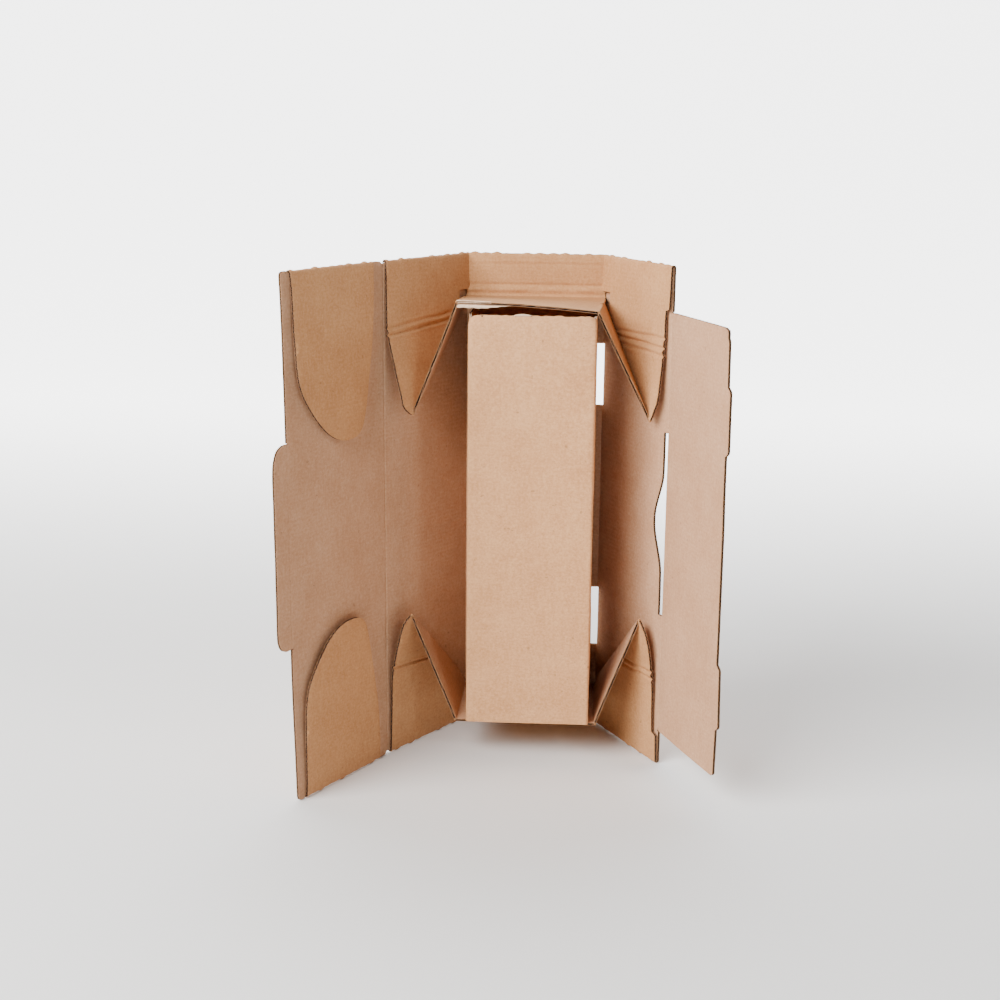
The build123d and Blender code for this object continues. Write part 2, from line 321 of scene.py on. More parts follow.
def sheet(name, body, node, outline, cut, mapping, holes=(), xs=(), ys=(), step=4.0,
          slots=None, flute_of=None, depth=3.4, thick=VT):
    """Corrugated board over an outline in flat coordinates. mapping(x, y, h)
    gives the place in space, h from -H on the outer face to +H on the inner.
    Cut edges show the two liners and the flutes between them."""
    loops = [(densify(outline, cut))]
    for hp, hc in holes:
        loops.append(densify(hp, hc))
    lo = np.min([p for p in loops[0][0]], axis=0)
    hi = np.max([p for p in loops[0][0]], axis=0)
    gx = np.arange(lo[0] + step / 2, hi[0], step)
    gy = np.arange(lo[1] + step / 2, hi[1], step)
    gx = np.unique(np.round(np.concatenate([gx, np.array(xs, float)]), 3))
    gy = np.unique(np.round(np.concatenate([gy, np.array(ys, float)]), 3))
    G = np.stack(np.meshgrid(gx, gy, indexing="ij"), -1).reshape(-1, 2)
    keep = inside(G, loops[0][0])
    for lp, _ in loops[1:]:
        keep &= ~inside(G, lp)
    G = G[keep]
    B = np.concatenate([lp for lp, _ in loops])
    G = G[~near(G, B, 0.55)]
    edges, k0 = [], 0
    for lp, _ in loops:
        n = len(lp)
        edges += [(k0 + i, k0 + (i + 1) % n) for i in range(n)]
        k0 += n
    allp = np.concatenate([B, G])
    v, _, f, ov, _, _ = delaunay_2d_cdt([Vector((float(p[0]), float(p[1]))) for p in allp], edges, [], 0, 1e-5, True)
    V2 = np.array([(p.x, p.y) for p in v])
    F = np.array([list(t) for t in f if len(t) == 3])
    cen = V2[F].mean(1)
    ok = inside(cen, loops[0][0])
    for lp, _ in loops[1:]:
        ok &= ~inside(cen, lp)
    F = F[ok]
    a, b, c = V2[F[:, 0]], V2[F[:, 1]], V2[F[:, 2]]
    area = (b[:, 0] - a[:, 0]) * (c[:, 1] - a[:, 1]) - (b[:, 1] - a[:, 1]) * (c[:, 0] - a[:, 0])
    F[area < 0] = F[area < 0][:, ::-1]
    hh = thick / 2
    n2 = len(V2)
    top = mapping(V2[:, 0], V2[:, 1], np.full(n2, hh))
    bot = mapping(V2[:, 0], V2[:, 1], np.full(n2, -hh))
    # which way round is the inner face?
    t0 = top[F[0]]
    nn = np.cross(t0[1] - t0[0], t0[2] - t0[0])
    up = top[F[0, 0]] - bot[F[0, 0]]
    flip = np.dot(nn, up) < 0
    Fi = F[:, ::-1] if flip else F
    Fo = F if flip else F[:, ::-1]
    verts = [top, bot]
    faces = [Fi, Fo + n2]
    mats = [np.full(len(Fi), 1), np.full(len(Fo), 0)]
    smooth = [np.ones(len(Fi), bool), np.ones(len(Fo), bool)]
    off = 2 * n2
    hi_in = hh - LINER
    amp = hi_in - MEDIUM / 2
    fl = flute_of or (lambda x, y: y)
    for li, (lp, flags) in enumerate(loops):
        n = len(lp)
        # inward normals in the flat
        nx = np.roll(lp, -1, 0) - lp
        ln = np.maximum(np.hypot(nx[:, 0], nx[:, 1]), 1e-9)
        tang = nx / ln[:, None]
        s = 0.5 * np.sum(lp[:, 0] * np.roll(lp[:, 1], -1) - np.roll(lp[:, 0], -1) * lp[:, 1])
        en = np.stack([-tang[:, 1], tang[:, 0]], 1) * (1 if s > 0 else -1)
        if li > 0:
            en = -en
        vn = en + np.roll(en, 1, 0)
        vn /= np.maximum(np.hypot(vn[:, 0], vn[:, 1]), 1e-6)[:, None]
        # runs of cut edges
        i = 0
        runs = []
        if flags.all():
            runs.append((list(range(n)) + [0]))
        elif flags.any():
            st = int(np.argmin(flags))
            seq = [(st + k) % n for k in range(n)]
            cur = []
            for k in seq:
                if flags[k]:
                    if not cur:
                        cur = [k]
                    cur.append((k + 1) % n)
                elif cur:
                    runs.append(cur)
                    cur = []
            if cur:
                runs.append(cur)
        for run in runs:
            P = lp[run]
            M = vn[run]
            crush = 1 - 0.22 * np.clip(N2(P[:, 0] * 0.11, P[:, 1] * 0.11), 0, 1.5) / 1.5
            rows = []

            def row(depth_, h_):
                Q = P + M * depth_
                rows.append(mapping(Q[:, 0], Q[:, 1], np.broadcast_to(h_, (len(Q),)).astype(float)))
                return len(rows) - 1
            ph = lambda dpt: 2 * math.pi * fl(P[:, 0] + M[:, 0] * dpt, P[:, 1] + M[:, 1] * dpt) / PITCH
            med = lambda dpt: np.clip(1.15 * np.sin(ph(dpt) + 0.5 * N3(P[:, 0] * .2, P[:, 1] * .2)), -1, 1) * amp * crush
            # material 3 paints the flute hollows and the medium's faces near-black as shade, material 2 is the paper's
            # cut face
            q = []                                 # (row a, row b, material)
            r1, r2 = row(0, hh), row(0.0, hi_in)
            q.append((r1, r2, 2))
            r3 = row(depth, hi_in)
            q.append((r2, r3, 3))
            r4, r5 = row(0, -hh), row(0.0, -hi_in)
            q.append((r5, r4, 2))
            r6 = row(depth, -hi_in)
            q.append((r6, r5, 3))
            q.append((r3, r6, 3))
            m0, m1 = med(0.12), med(depth)
            Pa = row(0.15, m0 + MEDIUM / 2)
            Pb = row(depth, m1 + MEDIUM / 2)
            Pc = row(0.15, m0 - MEDIUM / 2)
            Pd = row(depth, m1 - MEDIUM / 2)
            q.append((Pb, Pa, 3))
            q.append((Pa, Pc, 2))
            q.append((Pc, Pd, 3))
            k = len(P)
            verts.append(np.concatenate(rows))
            for ra, rb, mt in q:
                i0 = np.arange(k - 1)
                A0, A1 = off + ra * k + i0, off + ra * k + i0 + 1
                B0, B1 = off + rb * k + i0, off + rb * k + i0 + 1
                f1 = np.stack([A0, B0, B1], 1)
                f2 = np.stack([A0, B1, A1], 1)
                ff = np.concatenate([f1, f2])
                faces.append(ff)
                mats.append(np.full(len(ff), mt))
                smooth.append(np.full(len(ff), mt == 3))
            off += len(rows) * k
    V3 = (np.concatenate(verts) + SHIFT) / 1000.0
    FF = np.concatenate(faces)
    MM = np.concatenate(mats)
    SS = np.concatenate(smooth)
    me = bpy.data.meshes.new(name)
    me.vertices.add(len(V3))
    me.vertices.foreach_set("co", V3.astype(np.float32).ravel())
    me.loops.add(len(FF) * 3)
    me.loops.foreach_set("vertex_index", FF.astype(np.int32).ravel())
    me.polygons.add(len(FF))
    me.polygons.foreach_set("loop_start", np.arange(0, len(FF) * 3, 3, dtype=np.int32))
    me.polygons.foreach_set("loop_total", np.full(len(FF), 3, dtype=np.int32))
    me.update(calc_edges=True)
    me.validate()
    for m in (slots or BOARD_SLOTS):
        me.materials.append(m)
    if len(me.polygons) == len(FF):
        me.polygons.foreach_set("material_index", MM.astype(np.int32))
        me.polygons.foreach_set("use_smooth", SS)
    else:
        print("WARN faces dropped", name, len(FF), len(me.polygons))
        me.polygons.foreach_set("use_smooth", np.ones(len(me.polygons), bool))
    ob = bpy.data.objects.new(name, me)
    bpy.context.scene.collection.objects.link(ob)
    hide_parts(node)
    if body:
        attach(ob, body)
    print("piece", name, "tris", len(FF))
    return ob


def catmull(pts, n=6):
    out = []
    for i in range(len(pts) - 1):
        p0, p1, p2 = pts[max(i - 1, 0)], pts[i], pts[i + 1]
        p3 = pts[min(i + 2, len(pts) - 1)]
        for k in range(n):
            u = k / n
            out.append(tuple(0.5 * ((2 * p1[j]) + (-p0[j] + p2[j]) * u + (2 * p0[j] - 5 * p1[j] + 4 * p2[j] - p3[j]) * u * u
                                    + (-p0[j] + 3 * p1[j] - 3 * p2[j] + p3[j]) * u ** 3) for j in range(2)))
    out.append(pts[-1])
    return out


# ---------------------------------------------------------------------------
# mappings
# ---------------------------------------------------------------------------
def crease_dent(x, h, c, w=1.1, d=0.34):
    """Both faces are pinched where the board is creased."""
    return h * (1 - d / H * gauss(x, c, w))


def panel_map(O, D, N, warp=None, dents=()):
    def f(x, y, h):
        x, y, h = np.asarray(x, float), np.asarray(y, float), np.asarray(h, float)
        for c, w, d in dents:
            h = crease_dent(x, h, c, w, d)
        hh = h + (warp(x, y) if warp else 0.0)
        return O + x[:, None] * D + y[:, None] * ZUP + hh[:, None] * N
    return f


RHO = 1.7


def chain_map():
    """Base and both side walls as one bent sheet, x measured across it."""
    def f(x, y, h):
        x, y, h = np.asarray(x, float), np.asarray(y, float), np.asarray(h, float)
        for c in (-BASE_W / 2, BASE_W / 2):
            h = crease_dent(x, h, c, 1.3, 0.25)
        h = h + warp_root(x, y)
        P = np.zeros((len(x), 3))
        out = np.zeros(len(x), bool)
        for side, ang, C, D, N in ((-1, A_L, CL, DL, NL), (1, A_R, CR, DRR, NR)):
            s = side * x - BASE_W / 2
            tau = RHO * math.tan(ang / 2)
            w = s > tau
            P[w] = C + s[w, None] * D + h[w, None] * N
            a = (s > -tau) & ~w
            th = (s[a] + tau) / (2 * tau) * ang
            cen = np.array([side * (BASE_W / 2 - tau), H - RHO, 0.0])
            rad = RHO - h[a]
            P[a] = cen + rad[:, None] * np.stack([side * np.sin(th), np.cos(th), 0 * th], 1)
            out |= w | a
        b = ~out
        P[b] = np.stack([x[b], H - h[b], 0 * x[b]], 1)
        P[:, 2] += y
        return P
    return f


def twist_left(s, z):
    """The left wall stands a little further open at the top."""
    return -1.2 * np.clip(s / WALL_W, 0, 1.1) ** 1.3 * np.clip((z - 120) / 280, -0.3, 1)


def warp_root(x, y):
    s = np.clip(-x - BASE_W / 2, 0, None)
    return 0.30 * N4(x / 60 + 3, y / 90) * sstep(np.abs(x), 62, 90) * sstep(WALL_W + BASE_W / 2 - np.abs(x), 0, 20) \
        + 0.08 * N2(x / 17, y / 23) * sstep(WALL_W + BASE_W / 2 - np.abs(x), 0, 8) + twist_left(s, y)


def warp_lid(s, z):
    e = np.interp(z, [0, 41, 82, 121, 275, 345, 380, 400], [2.1, 0.7, -0.5, -1.1, -1.9, -2.9, -3.8, -4.6])
    return e * np.clip(s / LID_W, 0, 1.2) ** 0.85 + 0.35 * N1(s / 45 + 9, z / 80) * np.clip(s / 40, 0, 1) + 0.09 * N2(s / 15, z / 21)


def warp_roll(s, z):
    e = np.interp(z, [28, 65, 115, 197, 271, 322, 364], [-1.5, -2.2, -1.4, -1.0, -0.8, -0.7, -1.0])
    return e * np.clip(s / ROLL_W, 0, 1.1) ** 1.2 + 0.5 * N3(s / 50 + 2, z / 95 + 4) * np.clip(s / 40, 0, 1) + 0.08 * N2(s / 14 + 5, z / 20)


def profile(events, total):
    """Path of a flap's middle surface from the end fold. events are
    (start, length, turn in radians). Returns arrays v, height, lift, angle."""
    v = np.arange(-2.0, total, 0.05)
    al = np.zeros(len(v))
    for st, ln, tn in events:
        al += tn * np.clip((v - st) / ln, 0, 1)
    dz, dn = np.cos(al), np.sin(al)
    z = np.concatenate([[0], np.cumsum((dz[1:] + dz[:-1]) / 2 * 0.05)])
    n = np.concatenate([[0], np.cumsum((dn[1:] + dn[:-1]) / 2 * 0.05)])
    k = int(np.argmin(np.abs(v)))
    return v, z - z[k], n - n[k], al


def flap_map(O, D, N, top, events, total, wave=1.05, extra=None, warp=None, seed=0):
    """A flap turned back over a panel: x along the panel, y the developed
    distance past the start of the end fold."""
    v, zz, nn, al = profile(events, total)
    up = 1.0 if top else -1.0
    z0 = BOX_H - RO if top else RO

    def f(x, y, h):
        x, y, h = np.asarray(x, float), np.asarray(y, float), np.asarray(h, float)
        a = np.interp(y, v, al)
        z = np.interp(y, v, zz)
        n = np.interp(y, v, nn)
        if extra:
            h = h + extra(x, y, h)
        # the surface's inner side: rotate the path's direction a quarter turn
        iz, inn = -np.sin(a), np.cos(a)
        w = wave * gauss(y, math.pi * RM / 2, 2.2) * (scallop(x + seed * 7.7) - (0.0 if top else 0.9))
        zc = z0 + up * (z + h * iz + w)
        nc = n + h * inn
        wr = warp(x, zc) if warp else 0.0
        return O + x[:, None] * D + zc[:, None] * ZUP + (nc + wr)[:, None] * N
    return f


def scallop(x):
    """Cuts of the perforated fold let the edge stand out in shallow waves."""
    p = (x + 1.5 * N3(x / 25, 0 * x)) / 9.3
    fr = p - np.floor(p)
    am = 0.6 + 0.5 * N1(np.floor(p) * 1.37, 0 * x)
    return (np.sin(math.pi * np.clip(fr / 0.72, 0, 1)) ** 0.8) * np.clip(am, 0.1, 1.3) - 0.35


FOLD = (math.pi - SPRING) * RM      # developed length of the end fold


def dv(d):
    """Developed distance of a point d from the end of the box, on a flap."""
    return FOLD + d - RO


# ---------------------------------------------------------------------------
# 1. base and side walls
# ---------------------------------------------------------------------------
XL = -(BASE_W / 2 + WALL_W - 1.45)
XR = BASE_W / 2 + WALL_W
Z0, Z1 = RO, BOX_H - RO
g = 0.5
arc = catmull([(WALL_W - 6.3, 158), (WALL_W - 7.8, 167), (WALL_W - 15.5, 188), (WALL_W - 17, 199),
               (WALL_W - 15.5, 210), (WALL_W - 7.8, 231), (WALL_W - 6.3, 240)], 5)
xw = BASE_W / 2
out = []
cut = []


def add(p, c):
    out.append(p)
    cut.append(c)


xr_in = xw + WALL_W - 1.45
add((XL, Z0), False)
add((-xw - WALL_W + 1.6, Z0), False)
add((-xw - g, Z0), True)
add((-xw + 0.3, Z0), False)
add((xw - 0.3, Z0), True)
add((xw + g, Z0), False)
add((XR - 0.05, Z0), True)
add((XR, ROLL_Z0 - 0.6), True)
add((xr_in, ROLL_Z0 - 0.6), False)
add((xr_in, 124.5), True)
add((xw + WALL_W - 6.3, 124.5), True)
for p in arc:
    add((xw + p[0], p[1]), True)
add((xw + WALL_W - 6.3, 271.5), True)
add((xr_in, 271.5), False)
add((xr_in, ROLL_Z1 + 0.6), True)
add((XR, ROLL_Z1 + 0.6), True)
add((XR, Z1), False)
add((xw + g, Z1), True)
add((xw - 0.3, Z1), False)
add((-xw + 0.3, Z1), True)
add((-xw - g, Z1), False)
add((-xw - WALL_W + 1.6, Z1), False)
add((XL, Z1), False)
holes = []
for z0, z1 in ((70.0, 121.0), (277.0, 328.0)):
    holes.append(([(xw - 11, z0), (xw + 2.2, z0), (xw + 2.2, z1), (xw - 11, z1)], [True] * 4))
cr = [xw + d for d in (-3, -2, -1.4, -0.9, -0.45, 0, 0.45, 0.9, 1.4, 2, 3)]
sheet("box_shell", "root", "box_body", out, cut, chain_map(), holes=holes, xs=[-c for c in cr] + cr, step=5.0)


# ---------------------------------------------------------------------------
# 2. end flaps, bulkheads and web corners
# ---------------------------------------------------------------------------
def flap_relief(lines):
    """Scores pressed across a side flap, soft grooves with ridges between.
    lines holds (distance at the root, distance at the rim, depth)."""
    def f(x, y, h):
        d = y - FOLD + RO
        r = 0.0 * x
        for a, b, k in lines:
            c = a + (b - a) * x / 104.0 + 0.35 * N2(x / 14, a)
            r = r + k * gauss(d, c, 1.0) - 0.42 * k * gauss(d, c + 2.6, 1.3) - 0.3 * k * gauss(d, c - 2.5, 1.3)
        r = r * sstep(x, 14, 26)
        return r + 0.05 * N2(x / 9, y / 11)
    return f


def side_flap(tag, O, D, N, top, bend, rim, tip, lines, bends, bulk_front, bulk_root, seed, warp=None):
    gam = math.radians(bend)
    ev = [(0, FOLD, math.pi - SPRING)] + [(dv(q) - 1.5, 3.0, -gam * w) for q, w in bends]
    m = flap_map(O, D, N, top, ev, 150, extra=flap_relief(lines), warp=warp, seed=seed)
    TS, TD = tip
    slope = (TD - END_A) / TS
    pr = (15.0, dv(END_A + 15.0 * slope))
    o, c = [], []
    o.append((g, 0)); c.append(False)
    o.append((rim[0][0], 0)); c.append(True)
    for q in rim[1:]:
        o.append((q[0], dv(q[1]))); c.append(True)
    o.append((TS, dv(TD))); c.append(True)
    o.append(pr); c.append(True)
    o.append((15.0, dv(29.0))); c.append(True)
    o.append((g, dv(29.0))); c.append(True)
    # the edge from the tip to the relief is the web's crease, not a cut
    k = len(o) - 4
    c[k] = False
    ys = [dv(q) for q in np.arange(min(l[0] for l in lines) - 7, max(l[1] for l in lines) + 7, 0.8)] + [FOLD * q for q in (0.1, 0.2, 0.3, 0.4, 0.5, 0.6, 0.7, 0.8, 0.9, 1.0)]
    xs_ = np.arange(3, rim[0][0] - 1, 2.2)
    sheet("side_flap_" + tag, "root", "box_body", o, c, m, xs=xs_[::1], ys=ys, step=5.0)
    # web leg, in the flat coordinates of the sheet
    one = lambda p: m(np.array([p[0]]), np.array([p[1]]), np.array([0.0]))[0]
    P = one(pr)
    Tt = one((TS, dv(TD)))
    Bf = np.array(bulk_front)
    e1 = Tt - P
    L1 = np.linalg.norm(e1)
    e1 = e1 / L1
    w = Bf - P
    e2 = w - np.dot(w, e1) * e1
    e2 /= np.linalg.norm(e2)
    f1 = np.array([TS - pr[0], dv(TD) - pr[1]])
    f1 /= np.linalg.norm(f1)
    f2 = np.array([-f1[1], f1[0]])
    nrm = np.cross(e1, e2)
    ref = one((60, dv(90)))
    refn = m(np.array([60.]), np.array([dv(90)]), np.array([-H]))[0] - ref   # outer side of the flap
    # outer side of the leg faces the outer side of the flap
    if np.dot(nrm, refn) > 0:
        nrm = -nrm

    def flat(q):
        q = np.array(q) - P
        return np.array(pr) + np.dot(q, e1) * f1 + np.dot(q, e2) * f2

    def leg(x, y, h):
        q = np.stack([x - pr[0], y - pr[1]], 1)
        a, b = q @ f1, q @ f2
        bow = 0.9 * np.sin(np.clip(a / L1, 0, 1) * math.pi) * np.clip(b / 40, 0, 1)
        return P + a[:, None] * e1 + b[:, None] * e2 - (h + bow * 0.6)[:, None] * nrm
    R = np.array(bulk_root)
    q0 = flat(R + (Bf - R) * 0.10)
    fb = flat(Bf)
    ft = flat(Tt)
    fp = np.array(pr)
    cen = (q0 + fb + ft + fp) / 4
    # creases run a little into the neighbouring board
    dl = (ft - fp) / np.linalg.norm(ft - fp)
    side = np.array([dl[1], -dl[0]])
    if np.dot(side, fp - cen) < 0:
        side = -side
    ol = [tuple(fp + side * 0.3), tuple(ft + side * 0.3)]
    cl = [False, True]
    # rounded free edge near the bulkhead
    fe = fb - ft
    ol += [tuple(ft + fe * 0.55), tuple(ft + fe * 0.93 + (cen - fb) / np.linalg.norm(cen - fb) * 0.6), tuple(fb)]
    cl += [True, True, False]
    ol += [tuple(q0)]
    cl += [True]
    sheet("web_" + tag, "root", "box_body", ol, cl, leg, step=5.0)
    bead("web_crease_" + tag, [P + e1 * L1 * k for k in np.linspace(0, 1, 24)], 0.95, OUTER)
    return Bf, R


def bead(name, pts, r, mat, body="root", node="box_body"):
    """Rounded ridge of board along a crease."""
    pts = np.array(pts)
    n = len(pts)
    tg = np.gradient(pts, axis=0)
    tg /= np.linalg.norm(tg, axis=1)[:, None]
    ref = np.array([0.3, 0.2, 0.93])
    a = np.cross(tg, ref)
    a /= np.linalg.norm(a, axis=1)[:, None]
    b = np.cross(tg, a)
    k = 10
    ang = np.linspace(0, 2 * math.pi, k, endpoint=False)
    rr = r * (1 + 0.06 * N1(np.arange(n) * 0.7, np.zeros(n)))
    V = (pts[:, None, :] + rr[:, None, None] * (np.cos(ang)[None, :, None] * a[:, None, :] + np.sin(ang)[None, :, None] * b[:, None, :])).reshape(-1, 3)
    F = []
    for i in range(n - 1):
        for j in range(k):
            F.append((i * k + j, i * k + (j + 1) % k, (i + 1) * k + (j + 1) % k, (i + 1) * k + j))
    F.append(tuple(range(k))[::-1])
    F.append(tuple((n - 1) * k + j for j in range(k)))
    me = bpy.data.meshes.new(name)
    me.from_pydata(((V + SHIFT) / 1000).tolist(), [], F)
    me.materials.append(mat)
    for p in me.polygons:
        p.use_smooth = True
    ob = bpy.data.objects.new(name, me)
    bpy.context.scene.collection.objects.link(ob)
    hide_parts(node)
    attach(ob, body)
    return ob


OB, DB, NB = np.array([0.0, H, 0.0]), np.array([1.0, 0, 0]), np.array([0.0, -1.0, 0])


def base_flap(tag, top, a, zl, zr, seed):
    tilt = math.radians(1.0)
    fold = (math.pi - tilt) * RM
    v1 = fold + a - RO - 1.2
    turn = 2.4
    ev = [(0, fold, math.pi - tilt), (v1, turn, -(math.pi / 2 - tilt))]
    total = v1 + turn + BULK_D + 2
    xb = BASE_W / 2

    def relief(x, y, h):
        d = y - fold + RO
        # soft ridge above the crease, broken into short beads
        r = -1.15 * gauss(d, a - 6.0, 1.7) * (0.8 + 0.35 * N2(x / 13 + seed, 0 * x))
        r = r + 0.75 * gauss(d, a - 9.8, 1.6) + 0.30 * gauss(d, a - 2.4, 1.2)
        r = r - 0.25 * gauss(d, 6.2, 1.0) + 0.18 * gauss(d, 8.6, 1.4)
        return r + 0.10 * N3(x / 11, y / 7) * sstep(d, 4, 10)
    base_m = flap_map(OB, DB, NB, top, ev, total, extra=relief, seed=seed)
    end_z = (BOX_H - a) if top else a

    def m(x, y, h):
        P = base_m(x, y, h)
        k = np.clip((y - v1 - turn) / BULK_D, 0, 1)
        u = (np.asarray(x) + xb) / (2 * xb)
        tgt = zl * (1 - u) + zr * u - end_z
        sag = 1.2 * np.sin(np.clip(u, 0, 1) * math.pi) if top else 0.0
        P[:, 2] += (tgt + sag) * k ** 1.3 + 0.25 * N1(np.asarray(x) / 20 + seed, np.asarray(y) / 20) * sstep(k, 0.05, 0.3)
        return P
    yf = v1 + turn + BULK_D
    xr = xb - (4.6 if top else 0.0)
    o = [(-xb + 0.3, 0), (xb - 0.3, 0), (xb - 0.3, v1 - 1.0), (xb + 0.2, v1 + 2.0), (xr, yf), (-xb, yf), (-xb - 0.2, v1 + 2.0), (-xb + 0.3, v1 - 1.0)]
    c = [False, True, True, False, True, False, True, True]
    ys = [fold * q for q in (0.1, 0.2, 0.3, 0.4, 0.5, 0.6, 0.7, 0.8, 0.9, 1.0)] + list(np.arange(fold + a - RO - 14, v1 + turn + 2, 0.6)) + [fold + q for q in (2.5, 3.3, 4.1, 4.9, 5.7, 6.5, 7.3, 8.1)]
    sheet("end_flap_" + tag, "root", "box_body", o, c, m, xs=np.arange(-54, 55, 2.2), ys=ys, step=5.0)
    get = lambda x, y: m(np.array([x]), np.array([y]), np.array([0.0]))[0]
    return get(-xb, yf), get(xr, yf), get(-xb, v1 + turn), get(xb, v1 + turn), m, yf


for top, a, zl, zr, t in ((True, END_A, 370.6, 363.8, "top"), (False, END_LOW, END_LOW - 0.1, END_LOW - 0.1, "low")):
    fl_, fr_, rl_, rr_, bm, yf = base_flap(t, top, a, zl, zr, 1 if top else 2)
    if top:
        side_flap("left_top", CL, DL, NL, True, 10.8,
                  [(102.4, 0), (103.2, 29), (103.8, 52), (103.8, 58), (102.9, 71), (102.0, 89), (100.6, 106), (100.9, 111), (99.6, 114.5), (95.0, 119.0)],
                  (91.7, 120.5), [(43.8, 52.0, 0.8), (49.5, 57.0, 1.15)], [(48.5, 0.35), (55.0, 0.65)], fl_, rl_, 3, twist_left)
        side_flap("right_top", CR, DRR, NR, True, 3.4,
                  [(WALL_W, 0), (WALL_W, 33.0), (99.4, 34.6), (99.3, 46), (99.7, 56), (99.2, 63), (99.7, 72), (99.4, 86), (99.4, 100), (98.2, 106.5), (95.6, 111.5), (93.6, 117)],
                  (91.0, 121.0), [(57.5, 55.5, 0.9), (61.0, 63.0, 1.35), (66.5, 69.0, 0.9)], [(57.0, 0.3), (63.0, 0.7)], fr_, rr_, 5)
    else:
        side_flap("left_low", CL, DL, NL, False, 11.5,
                  [(101.4, 0), (101.5, 35), (101.7, 70), (101.7, 81), (101.5, 92), (101.1, 103), (99.5, 112.5), (95.8, 117.0)],
                  (91.7, 120.0), [(65.0, 75.0, 1.5)], [(62.0, 0.4), (72.0, 0.6)], fl_, rl_, 4, twist_left)
        side_flap("right_low", CR, DRR, NR, False, 6.0,
                  [(WALL_W, 0), (WALL_W, 24.6), (98.6, 26.6), (98.6, 49), (98.9, 63), (99.0, 74), (99.0, 84), (98.6, 97), (96.2, 107.5), (91.4, 115.0)],
                  (87.6, 119.2), [(69.0, 71.6, 1.2), (74.0, 77.5, 1.1)], [(60.0, 0.4), (72.0, 0.6)], fr_, rr_, 6)
    for tg, aa, bb in (("left_" + t, rl_, fl_), ("right_" + t, rr_, fr_)):
        bead("bulkhead_crease_" + tg, [aa + (bb - aa) * k for k in np.linspace(0.12, 0.995, 20)], 0.95, OUTER)

# ---------------------------------------------------------------------------
# 3. lid with its two tongues, and the tab
# ---------------------------------------------------------------------------
CS = 1.55      # half width of a crease strip
lid_dents = [(LID_W, 1.2, 0.0)]


def lid_warp(s, z):
    return warp_lid(s, z) * sstep(s, 0.0, 5.0) + twist_left(WALL_W + 0 * s, z)


lz0, lz1 = RO, BOX_H - RO
ex = BOX_H - 0.3
o = [(CS, 2.2), (3.2, 0.6), (6, 0.35), (12.2, 0.35), (13.2, lz0), (106.3, lz0), (107.2, 0.35), (LID_W - 3, 0.35), (LID_W - 0.8, 1.2), (LID_W, 3.4),
     (LID_W, 120.5), (LID_W - CS, 120.6), (LID_W - CS, 276.4), (LID_W, 276.5),
     (LID_W, 400 - 3.4), (LID_W - 0.8, 400 - 1.2), (LID_W - 3, 400 - 0.35), (107.2, 400 - 0.35), (106.3, lz1), (13.2, lz1), (12.2, 400 - 0.35), (6, 400 - 0.35), (3.2, 400 - 0.6), (CS, 400 - 2.2)]
c = [True, True, True, True, False, True, True, True, True, True,
     True, False, True, True,
     True, True, True, True, False, True, True, True, True, False]
c[4] = False
lid_m = panel_map(BL, DLID, NLID, lid_warp)
sheet("lid_panel", "lid", "lid", o, c, lid_m, xs=[1.9, 2.4, 3.2, 4.5], step=5.0)

tongue = [(13.5, 0), (14.8, 24), (17, 45), (20.5, 65), (25, 85), (29, 103), (33, 117), (36.5, 124),
          (42, 128.2), (50, 129.6), (60, 129.0), (69, 125.5), (78, 119.0), (87.5, 109), (95.5, 98),
          (102, 86), (104.8, 72), (105.6, 50), (105.6, 0)]
for t, top in (("top", True), ("low", False)):
    tl = math.radians(1.9)
    fo = (math.pi - tl) * RM
    pts = catmull([(s, fo + max(d - RO, 0)) for s, d in tongue], 4)
    o = [(13.2, 0)] + pts[1:-1] + [(106.3, 0)]
    o = o[::-1]
    c = [True] * (len(o) - 1) + [False]

    def rel(x, y, h):
        return 0.14 * gauss(y, fo + 28, 1.0) + 0.06 * N2(x / 9 + 2, y / 12) + 0.16 * gauss(y, fo + 7.5, 1.6)
    mm_ = flap_map(BL, DLID, NLID, top, [(0, fo, math.pi - tl)], 140, extra=rel, warp=lid_warp, seed=11 if top else 13)
    ys = [fo * q for q in (0.1, 0.2, 0.3, 0.4, 0.5, 0.6, 0.7, 0.8, 0.9, 1.0)] + [fo + q for q in (4.5, 6, 7.5, 9, 10.5, 26, 27, 28, 29, 30)]
    sheet("tongue_" + t, "lid", "lid", o, c, mm_, xs=np.arange(16, 106, 2.2), ys=ys, step=5.0)


